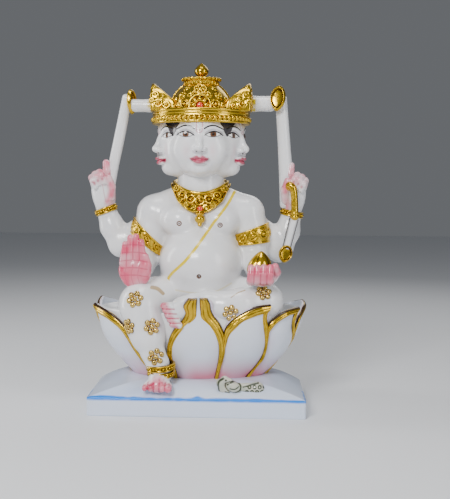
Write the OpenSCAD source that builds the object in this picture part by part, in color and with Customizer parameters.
// Three-faced seated idol of white marble on a lotus seat, with gilded ornaments.
// Millimetres. +Z is up, +X is the viewer's right, and the figure faces -Y.
// The origin is the centre of the plinth's underside.

/* [Plinth] */
// Width of the plinth slab
plinth_w = 233; // [225:1:245]
// Distance from the figure's axis to the plinth's front face
plinth_front = 88; // [84:1:96]
// Distance from the figure's axis to the plinth's back face
plinth_back = 56; // [54:1:70]
// Height of the slab's upright edge
slab_h = 19; // [14:1:22]
// Height of the mound that carries the lotus
mound_top = 34; // [32:1:36]

/* [Lotus] */
// Half-width of the lotus bowl where it meets the mound
foot_r = 74; // [72:1:76]
// Half-width of the lotus bowl at its rim
rim_r = 113; // [111:1:115]
// Depth of the lotus divided by its width
lotus_depth = 0.62; // [0.6:0.01:0.66]
// Height of the lotus rim
rim_z = 108; // [107:1:110]
// Height of the seat inside the rim
seat_z = 103; // [101:1:104]
// How far the middle of a petal swells out
petal_swell = 4; // [2:0.5:5]
// Width of the gilded ribbon along a petal's edge
ribbon_w = 6.5; // [4:0.5:8]

/* [Figure] */
// Half-width, half-depth and half-height of the belly
belly = [47, 46, 40];
// Half-width, half-depth and half-height of the chest
chest = [45, 30, 33];
// Radius of the neck
neck_r = 26; // [24:1:28]
// Half-width, half-depth and half-height of each head
skull = [35, 37, 42];
// Height of the middle of the three heads
head_z = 300; // [298:1:302]
// Distance of a side face's centre from the figure's axis
side_head = 22; // [20:1:24]

/* [Crown] */
// Height of the crown's lower edge
crown_z = 314; // [312:1:316]
// Height of the crown's upright band
band_h = 15; // [12:1:17]
// Half-width of the crown band
band_w = 57; // [56:1:58]
// Half-depth of the crown band
band_d = 49; // [48:1:50]
// Height of the finial's point
top_z = 382; // [380:1:386]

/* [Ornaments] */
// Radius of one rosette petal
rosette_r = 2.7; // [2:0.1:3]
// Thickness of the bangles and anklets
bangle_t = 3.2; // [2.6:0.1:3.6]

/* [Hidden] */
$fn = 48;
marble = "white";
gilt = "goldenrod";
blush = "lightpink";

// Joint points of the limbs; "right" and "left" are the figure's own.
r_shoulder = [-53, 2, 216];
r_elbow = [-62, -2, 164];
r_wrist = [-68, -42, 146];
l_shoulder = [53, 2, 216];
l_elbow = [62, -2, 164];
l_wrist = [68, -42, 146];
r_back_elbow = [-90, 13, 178];
r_back_wrist = [-110, 12, 218];
l_back_elbow = [89, 13, 174];
l_back_wrist = [104, 12, 216];
r_hip = [-30, -14, 126];
r_knee = [-62, -58, 116];
r_ankle = [-39, -68, 49];
l_hip = [30, -12, 126];
l_knee = [74, -37, 119];
l_ankle = [-5, -58, 117];

// Staff ends, from the back hand up to the strut beside the crown.
r_staff_foot = [-107, 6, 238];
r_staff_head = [-86, 6, 342];
l_staff_foot = [97, 4, 235];
l_staff_head = [88, 6, 343];
strut_r = 8;
strut_in = 54;
strut_z = 337;

// Each petal: the angle of its two edges at the foot, halfway up and at the
// junction, then the angle and height of its tip.
edge_z = [-19.2, -19.1, -13.5];
edge_a = [16, 16, 14.4];
edge_b = [46.5, 48.8, 42.4];
edge_c = [76, 89, 69];
edge_d = [134, 134, 132];
edge_e = [180, 180, 180];
edge_f = [-88, -92, -87];
edge_g = [-35, -44.2, -49];
junction_z = 90;
PETALS = [
    [edge_z, edge_a, 1, 127],
    [edge_a, edge_b, 40, 119],
    [edge_b, edge_c, 67, 112],
    [edge_c, edge_d, 98, 114.5],
    [edge_d, edge_e, 157, 118.5],
    [-edge_e, -edge_d, -157, 118.5],
    [-edge_d, edge_f, -104, 115.5],
    [edge_f, edge_g, -77, 111.5],
];
petal_wall = 2;
glue_line = 0.3;
petal_rows = 9;
petal_cols = 8;
ribbon_steps = 11;

// Rosette centres with the way each one faces.
ROSETTES = [
    [[-67, -77, 126], [-0.2, -0.9, 0.35]],
    [[-72, -75, 95], [-0.75, -0.65, 0]],
    [[-48, -84, 96], [0.25, -1, 0]],
    [[-43.5, -83, 62.5], [0, -1, -0.15]],
    [[36, -72, 110], [0.1, -0.95, 0.1]],
    [[70.5, -54, 131], [0, -0.8, 0.6]],
];

// ---------- helpers ----------

// Turns +Z to point along v.
module aim(v) {
    rotate([0, acos(v[2] / norm(v)), atan2(v[1], v[0])]) children();
}

// Ellipsoid with half-axes s.
module egg(p, s) {
    translate(p) scale(s) sphere(1);
}

// Round limb from a to b with a radius at each end.
module limb(a, ra, b, rb) {
    translate(a) sphere(ra);
    translate(b) sphere(rb);
    translate(a) aim(b - a) cylinder(h = norm(b - a), r1 = ra, r2 = rb);
}

// Rounded link between two balls, for the pieces that are carved freehand.
module link(a, ra, b, rb) {
    hull() {
        translate(a) sphere(ra);
        translate(b) sphere(rb);
    }
}

// One freehand-carved piece, in facets.
module carved($fn = 14) resize([0, 0, 0]) children();

// Ring round the axis v with a flat inner wall.
module ring(p, v, r, t, h) {
    translate(p) aim(v) rotate_extrude() translate([r, -h / 2]) square([t, h]);
}

// Everything below the height z.
module below(z) {
    translate([-200, -200, z - 400]) cube(400);
}

// ---------- plinth and lotus ----------

module plinth_outline(inset = 0) {
    back_r = 36;
    corner_r = 3;
    half = plinth_w / 2 - inset;
    hull() {
        for (side = [-1, 1]) {
            translate([side * (half - corner_r), -plinth_front + inset + corner_r]) circle(corner_r);
            translate([side * (half - back_r), plinth_back - inset - back_r]) circle(back_r);
        }
    }
}

module plinth_raw() {
    shoulder_z = mound_top - 6;
    linear_extrude(slab_h) plinth_outline();
    hull() {
        translate([0, 0, slab_h - 0.5]) linear_extrude(0.5) plinth_outline();
        translate([0, 0, shoulder_z - 0.5]) linear_extrude(0.5) plinth_outline(12);
        translate([0, 0, mound_top - 0.5]) scale([1, lotus_depth + 0.03, 1]) cylinder(h = 0.5, r = foot_r + 6);
    }
}

module plinth() color(marble) plinth_raw();

// Radius of the bowl at a height, before the depth is scaled.
function bowl_r(z) =
    let (h = (z - mound_top) / (rim_z - mound_top))
    foot_r + (rim_r - foot_r) * sin(90 * min(1, h)) + max(0, h - 1) * 16;

module bowl_raw() {
    steps = 10;
    lip = 6;
    wall = [for (i = [0 : steps]) let (z = mound_top + (rim_z - mound_top) * i / steps) [bowl_r(z), z]];
    scale([1, lotus_depth, 1]) rotate_extrude()
        polygon(concat([[0, mound_top]], wall, [[rim_r - lip, rim_z], [rim_r - lip, seat_z], [0, seat_z]]));
}

module lotus_seat() color(marble) carved(32) bowl_raw();

// Point on the bowl at an angle and height, moved out by a distance.
function bowl_point(t, z, out) =
    let (r = bowl_r(z), n = [sin(t) * lotus_depth, -cos(t)], m = n / norm(n))
    [r * sin(t) + out * m[0], -r * lotus_depth * cos(t) + out * m[1], z];

// Curve through three values at 0, 0.5 and 1.
function through(v, s) = v[0] * (1 - s) * (1 - 2 * s) + 4 * v[1] * s * (1 - s) + v[2] * s * (2 * s - 1);

// Angle of a petal's edge at a height: up the shared edge, then over to the tip.
function edge_angle(edge, tip_t, tip_z, z) =
    z <= junction_z
        ? through(edge, (z - mound_top) / (junction_z - mound_top))
        : edge[2] + (tip_t - edge[2]) * pow((z - junction_z) / (tip_z - junction_z), 1.15);

// How far the petal's face stands out, at u across from -1 to 1 and s up from 0 to 1.
function petal_out(u, s) = glue_line + petal_wall + petal_swell * (1 - u * u) * sin(150 * s + 15);

module petal(i) {
    spec = PETALS[i];
    low = mound_top + 0.4;
    margin = 0.4;
    rows = [for (r = [0 : petal_rows]) low + (spec[3] - low) * (1 - pow(1 - r / petal_rows, 1.3))];
    function at(r, c, out_side) =
        let (z = rows[r], u = 2 * c / petal_cols - 1,
             t0 = edge_angle(spec[0], spec[2], spec[3], z) + margin,
             t1 = edge_angle(spec[1], spec[2], spec[3], z) - margin,
             t = (t0 + t1) / 2 + u * max(0.3, (t1 - t0) / 2))
        bowl_point(t, z, out_side ? petal_out(u, r / petal_rows) : glue_line);
    wide = petal_cols + 1;
    sheet = (petal_rows + 1) * wide;
    points = [for (side = [1, 0]) for (r = [0 : petal_rows]) for (c = [0 : petal_cols]) at(r, c, side == 1)];
    function cell(r, c) = r * wide + c;
    outer = [for (r = [0 : petal_rows - 1]) for (c = [0 : petal_cols - 1])
        each [[cell(r, c), cell(r + 1, c), cell(r + 1, c + 1)], [cell(r, c), cell(r + 1, c + 1), cell(r, c + 1)]]];
    inner = [for (f = outer) [f[0] + sheet, f[2] + sheet, f[1] + sheet]];
    foot = [for (c = [0 : petal_cols - 1])
        each [[cell(0, c), cell(0, c + 1), cell(0, c + 1) + sheet], [cell(0, c), cell(0, c + 1) + sheet, cell(0, c) + sheet]]];
    tip = [for (c = [0 : petal_cols - 1]) let (a = cell(petal_rows, c), b = cell(petal_rows, c + 1))
        each [[a, a + sheet, b + sheet], [a, b + sheet, b]]];
    sides = [for (r = [0 : petal_rows - 1])
        let (a = cell(r, 0), b = cell(r + 1, 0), p = cell(r, petal_cols), q = cell(r + 1, petal_cols))
        each [[a, a + sheet, b + sheet], [a, b + sheet, b], [p, q, q + sheet], [p, q + sheet, p + sheet]]];
    color(marble) polyhedron(points, concat(outer, inner, foot, tip, sides));
}

// Half-round ribbon that lies on the petal's two edges and meets at its tip.
module petal_ribbon(i) {
    spec = PETALS[i];
    low = mound_top + 1.5;
    high = spec[3] - 1;
    // The path runs up the first edge and down the second.
    function step_z(k) = low + (high - low) * (1 - pow(1 - min(k, 2 * ribbon_steps - k) / ribbon_steps, 1.4));
    function centre(k) =
        let (z = step_z(k), edge = k < ribbon_steps ? spec[0] : spec[1],
             inside = (k < ribbon_steps ? 1 : -1) * min(1.6, 2.2 * (high - z) / 10),
             t = k == ribbon_steps ? spec[2] : edge_angle(edge, spec[2], spec[3], z) + inside)
        [t, z];
    lift = glue_line + petal_wall + 0.9;
    function place(k) = let (c = centre(k)) bowl_point(c[0], c[1], lift);
    last = 2 * ribbon_steps;
    function along(k) = let (d = place(min(last, k + 1)) - place(max(0, k - 1))) d / norm(d);
    function outward(k) = let (c = centre(k), n = [sin(c[0]) * lotus_depth, -cos(c[0]), -0.15]) n / norm(n);
    function half_w(k) = ribbon_w / 2 * (0.5 + 0.5 * min(k, last - k) / ribbon_steps);
    section = [[-1, 0], [-0.7, 0.65], [0, 0.9], [0.7, 0.65], [1, 0]];
    sides = len(section);
    points = [for (k = [0 : last]) let (o = outward(k), w = cross(along(k), o))
        for (q = section) place(k) + w * (q[0] * half_w(k)) + o * (q[1] * half_w(k))];
    skin = [for (k = [0 : last - 1]) for (j = [0 : sides - 1])
        let (a = k * sides + j, b = k * sides + (j + 1) % sides)
        each [[a, a + sides, b + sides], [a, b + sides, b]]];
    start = [for (j = [1 : sides - 2]) [0, j, j + 1]];
    end = [for (j = [1 : sides - 2]) [last * sides, last * sides + j + 1, last * sides + j]];
    color(gilt) polyhedron(points, concat(skin, start, end));
}

// ---------- figure ----------

module torso_raw() {
    egg([0, -8, 163], belly);
    egg([0, 3, 206], chest);
    egg([0, 2, 130], [60, 42, 30]);
    limb([-40, 3, 221], 17, [40, 3, 221], 17);
    neck_raw();
}

module torso() color(marble) difference() {
    torso_raw();
    below(seat_z);
}

// The three heads meet along upright planes and end under the crown.
module neck_raw() translate([0, 2, 215]) cylinder(h = head_z - 250, r = neck_r);

seam_y = 16;
module head_room(outline) difference() {
    translate([0, 0, head_z - 60]) linear_extrude(crown_z - head_z + 60) polygon(outline);
    neck_raw();
}

module head_front() color(marble) intersection() {
    union() {
        egg([0, -8, head_z], skull);
        egg([0, -18, head_z - 16], [28, 24, 26]);
    }
    head_room([[0, seam_y], [-100, seam_y - 100], [100, seam_y - 100]]);
}

module head_left() color(marble) carved(30) intersection() {
    union() {
        egg([side_head, 0, head_z], [skull[1] - 2, skull[0] - 5, skull[2]]);
        translate([side_head + 9, 0, head_z - 17]) sphere(24.5);
    }
    head_room([[0, seam_y], [100, seam_y - 100], [100, 60], [0, 60]]);
}

module head_right() mirror([1, 0, 0]) head_left();

module arm_raw(shoulder, elbow, wrist) {
    limb(shoulder, 18, elbow, 14.5);
    limb(elbow, 14.5, wrist, 9.5);
}

module right_arm_raw() arm_raw(r_shoulder, r_elbow, r_wrist);

module left_arm_raw() arm_raw(l_shoulder, l_elbow, l_wrist);

module left_arm() color(marble) carved(20) difference() {
    left_arm_raw();
    torso_raw();
}

module right_arm() mirror([1, 0, 0]) left_arm();

module back_arm_raw(elbow, wrist) {
    root = [elbow[0] * 0.77, 10, 196];
    limb(root, 13, elbow, 14);
    limb(elbow, 14, wrist, 10);
}

module left_back_arm() color(marble) carved(20) difference() {
    back_arm_raw(l_back_elbow, l_back_wrist);
    left_arm_raw();
    torso_raw();
}

module right_back_arm() color(marble) carved(20) difference() {
    back_arm_raw(r_back_elbow, r_back_wrist);
    right_arm_raw();
    torso_raw();
}

// Open hand raised towards the viewer, resting on the knee.
module right_hand() color(blush) carved() difference() {
    union() {
        link([-69, -57, 149], 11, [-69, -58, 164], 9);
        for (i = [0 : 3]) {
            x = -80 + 7.2 * i;
            link([x, -58, 162], 5, [-70.5 + (x + 70.5) * 0.72, -60, 190 - abs(i - 1.4) * 3], 3.2);
        }
        link([-61, -56, 148], 7, [-55, -60, 175], 3.4);
    }
    right_arm_raw();
    right_leg_raw();
}

// Hand lying palm up, with its fingers curled round the bud.
module left_hand() color(blush) carved() difference() {
    union() {
        link([62, -54, 147], 9, [75, -54, 147], 9);
        for (i = [0 : 3]) {
            x = 58 + 6.4 * i;
            link([x, -62, 144], 4.5, [x, -70, 156], 3.5);
        }
        link([80, -54, 147], 6, [84, -63, 159], 3.6);
    }
    left_arm_raw();
    left_leg_raw();
    lotus_bud_raw();
}

// Raised back hand that grips a staff, drawn for the figure's right side.
module back_hand_raw() {
    link([-110.5, 9, 227], 10.5, [-112, 6, 245], 12.5);
    for (i = [0 : 2]) link([-114 + 3.4 * i, 0, 246 + 2 * i], 4.6, [-124 + 5 * i, -4, 253 + 2 * i], 4.6);
    link([-106, 4, 252], 5.4, [-108.5, 2, 271], 4);
    link([-101, 4, 234], 5, [-101, -3, 256], 4);
}

module right_back_hand() color(blush) carved() difference() {
    back_hand_raw();
    back_arm_raw(r_back_elbow, r_back_wrist);
    right_bracelet_raw();
    staff_raw(r_staff_foot, r_staff_head, 5.8, 6.2);
}

module left_back_hand() color(blush) carved() difference() {
    translate([-7, 0, -2]) mirror([1, 0, 0]) back_hand_raw();
    back_arm_raw(l_back_elbow, l_back_wrist);
    left_bracelet_raw();
    hook_handle_raw();
    staff_raw(l_staff_foot, l_staff_head, 8, 7);
}

module right_leg_raw() {
    limb(r_hip, 25, r_knee, 23);
    limb(r_knee, 23, r_ankle, 11.6);
    egg([-57, -61, 88], [20, 20, 24]);
}

module left_leg_raw() {
    limb(l_hip, 24, l_knee, 19);
    limb(l_knee, 19, l_ankle, 12);
}

module right_leg() color(marble) carved(22) difference() {
    right_leg_raw();
    torso_raw();
    bowl_raw();
}

module left_leg() color(marble) carved(22) difference() {
    left_leg_raw();
    torso_raw();
    bowl_raw();
    right_leg_raw();
    for (i = [0 : 2]) petal(i);
}

// Standing foot with five toes.
module right_foot() color(blush) carved() difference() {
    union() {
        link([-40, -66, 41], 11, [-41.5, -76, 35], 10);
        for (i = [0 : 4]) {
            x = -54 + 6.1 * i;
            toe_r = 3.4 + 0.25 * i;
            link([x * 0.8 - 8.5, -76, 34], 5.4, [x, -86, 33], toe_r);
        }
    }
    plinth_raw();
    right_leg_raw();
}

// Folded foot, its toes towards the hanging knee.
module left_foot() color(blush) carved() difference() {
    union() {
        link([-5, -59, 116], 11, [-24, -69, 110], 10);
        for (i = [0 : 4]) {
            p = [-34.5 + 3 * i, -77.5 - 0.8 * i, 117 - 4.8 * i];
            link(p, 3.4, p + [7, 5, -1], 4.6);
        }
    }
    left_leg_raw();
    right_leg_raw();
    bowl_raw();
    petal(0);
}

// ---------- what the hands hold ----------

module staff_raw(foot, head, r0, r1) limb(foot, r0, head, r1);

module right_staff() color(marble) difference() {
    staff_raw(r_staff_foot, r_staff_head, 5.8, 6.2);
    right_staff_cap_raw();
    strut_raw(-1);
}

module left_staff() color(marble) difference() {
    staff_raw(l_staff_foot, l_staff_head, 8, 7);
    left_staff_cap_raw();
    strut_raw(1);
}

// Leaf-shaped gilded disc on the head of a staff.
module cap_raw(p, turn) translate(p) rotate([0, 0, turn]) egg([0, 0, 0], [3.4, 9, 14.5]);

module right_staff_cap_raw() cap_raw([-80, 5, 340], -22);

module left_staff_cap_raw() cap_raw([86, 1, 343], 52);

module right_staff_cap() color(gilt) right_staff_cap_raw();

module left_staff_cap() color(gilt) left_staff_cap_raw();

module strut_raw(side) {
    reach = side < 0 ? 75 : 82;
    translate([side * strut_in, 5, strut_z]) rotate([0, side * 90, 0])
        cylinder(h = reach - strut_in, r = strut_r);
}

module strut_piece(side) color(marble) difference() {
    strut_raw(side);
    if (side < 0) right_staff_cap_raw();
    if (side > 0) left_staff_cap_raw();
    crown_peak_raw(side);
}

module right_strut() strut_piece(-1);

module left_strut() strut_piece(1);

// Curved handle over the wrist, with the flat blade hanging under it.
module hook_handle_raw() {
    top = [101, -8, 249];
    end = [106.5, -8, 208];
    h = norm(top - end);
    translate(end) aim(top - end) rotate_extrude()
        polygon([[0, 0], [2.6, 0.5], [4, 2.6], [4.2, h / 2], [4.6, h - 3], [3, h - 0.6], [0, h]]);
}

module hook_handle() color(gilt) hook_handle_raw();

module hook_blade() color(marble) difference() {
    translate([105.5, -8, 208]) aim([-8.5, 0, -34]) translate([-3, -5, 0.6]) cube([6, 10, 34]);
    hook_chape();
}

module hook_chape() color(gilt) egg([96.3, -8, 169], [8, 5.5, 10]);

module lotus_bud_raw() {
    translate([66, -58, 151]) rotate_extrude()
        polygon([[0, 0], [12, 1], [13, 5], [11, 11], [7, 17], [3, 22], [0, 24]]);
}

module lotus_bud() color(gilt) lotus_bud_raw();

// ---------- crown ----------

module crown_band() color(gilt)
    translate([0, -2, crown_z]) scale([band_w, band_d, 1]) cylinder(h = band_h, r = 1);

module crown_dome() color(gilt) intersection() {
    egg([0, -6, crown_z + band_h - 1], [35, 37, 33]);
    translate([-100, -100, crown_z + band_h]) cube([200, 200, 355 - crown_z - band_h]);
}

module crown_tier() color(gilt) translate([0, -4, 355]) cylinder(h = 9, r1 = 19, r2 = 22);

module crown_finial() color(gilt) {
    translate([0, -4, 364]) rotate_extrude()
        polygon([[0, 0], [4, 0], [6.5, 4], [7.5, 8], [6, 12], [2.5, 15], [0, top_z - 364]]);
}

// Pointed shell over a side face.
module crown_peak_raw(side) {
    translate([side * 44, -2, crown_z + band_h]) rotate([0, 0, side < 0 ? 180 : 0])
        intersection() {
            scale([13, 24, 31]) sphere(1);
            translate([0, -30, 0]) cube([20, 60, 40]);
        }
}

module right_crown_peak() color(gilt) crown_peak_raw(-1);

module left_crown_peak() color(gilt) crown_peak_raw(1);

// Cut stones on the crown and the necklace.
module red_gems() color("crimson") {
    egg([0, -52.5, 331], [3.2, 1.6, 3.6]);
    egg([0, -48.5, 217.5], [2.4, 1.5, 2.6]);
}

// ---------- jewellery ----------

module necklace() color(gilt) difference() {
    union() {
        translate([0, 0, 232]) rotate([14, 0, 0]) scale([1.1, 1, 1]) cylinder(h = 14, r1 = 42, r2 = 34);
        egg([0, -29, 229], [29, 16, 15]);
    }
    torso_raw();
    translate([0, 2, 230]) cylinder(h = 40, r = neck_r + 2);
}

module necklace_pendant() color(gilt) {
    translate([0.5, -43.5, 200]) rotate_extrude()
        polygon([[0, 0], [2.6, 2], [5, 6], [5.4, 9], [4, 12], [3.4, 14], [0, 14]]);
}

module armlet_piece(shoulder, elbow, tilt) {
    axis = elbow - shoulder;
    centre = shoulder + axis * 0.58;
    translate(centre) aim(axis + tilt) cylinder(h = 17, r1 = 18.6, r2 = 18.9, center = true);
}

module right_armlet() color(gilt) difference() {
    armlet_piece(r_shoulder, r_elbow, [26, 0, 0]);
    right_arm_raw();
    torso_raw();
}

module left_armlet() color(gilt) difference() {
    armlet_piece(l_shoulder, l_elbow, [-12, 0, 0]);
    left_arm_raw();
    torso_raw();
}

module bracelet_raw(elbow, wrist) {
    ring(wrist, wrist - elbow, 10.3, bangle_t, 6);
}

module right_bracelet_raw() bracelet_raw(r_back_elbow, r_back_wrist);

module left_bracelet_raw() bracelet_raw(l_back_elbow, l_back_wrist);

module right_bracelet() color(gilt) right_bracelet_raw();

module left_bracelet() color(gilt) left_bracelet_raw();

module anklets() color(gilt) {
    ring([-39.3, -67.6, 51.2], [-0.14, -0.08, 1], 13.2, bangle_t, 4.8);
    ring([-39.2, -67, 43.8], [-0.05, -0.1, 1], 12.9, bangle_t, 4.8);
}

// Flower of six domes round a middle stone.
module rosette() {
    petals = 6;
    for (i = [0 : petals - 1]) rotate([0, 0, i * 360 / petals])
        translate([2 * rosette_r + 0.05, 0, 0]) sphere(rosette_r - 0.05);
    sphere(rosette_r - 0.1);
}

module rosettes() color("gold") {
    for (r = ROSETTES) translate(r[0]) aim(r[1]) rosette();
}

// Resting peacock with its tail laid out to one side.
module peacock() color("darkseagreen") carved() difference() {
    union() {
        egg([33, -72, 29], [11, 8, 9]);
        limb([26, -74, 34], 5, [33, -75, 40], 3.6);
        limb([40, -72, 30], 5.5, [68, -70, 29], 6.5);
    }
    plinth_raw();
}

// ---------- the assembly ----------

plinth();
lotus_seat();
for (i = [0 : len(PETALS) - 1]) {
    petal(i);
    petal_ribbon(i);
}
torso();
head_front();
head_right();
head_left();
right_arm();
left_arm();
right_back_arm();
left_back_arm();
right_hand();
left_hand();
right_back_hand();
left_back_hand();
right_leg();
left_leg();
right_foot();
left_foot();
right_staff();
left_staff();
right_staff_cap();
left_staff_cap();
right_strut();
left_strut();
hook_handle();
hook_blade();
hook_chape();
lotus_bud();
crown_band();
crown_dome();
crown_tier();
crown_finial();
right_crown_peak();
left_crown_peak();
red_gems();
necklace();
necklace_pendant();
right_armlet();
left_armlet();
right_bracelet();
left_bracelet();
anklets();
rosettes();
peacock();
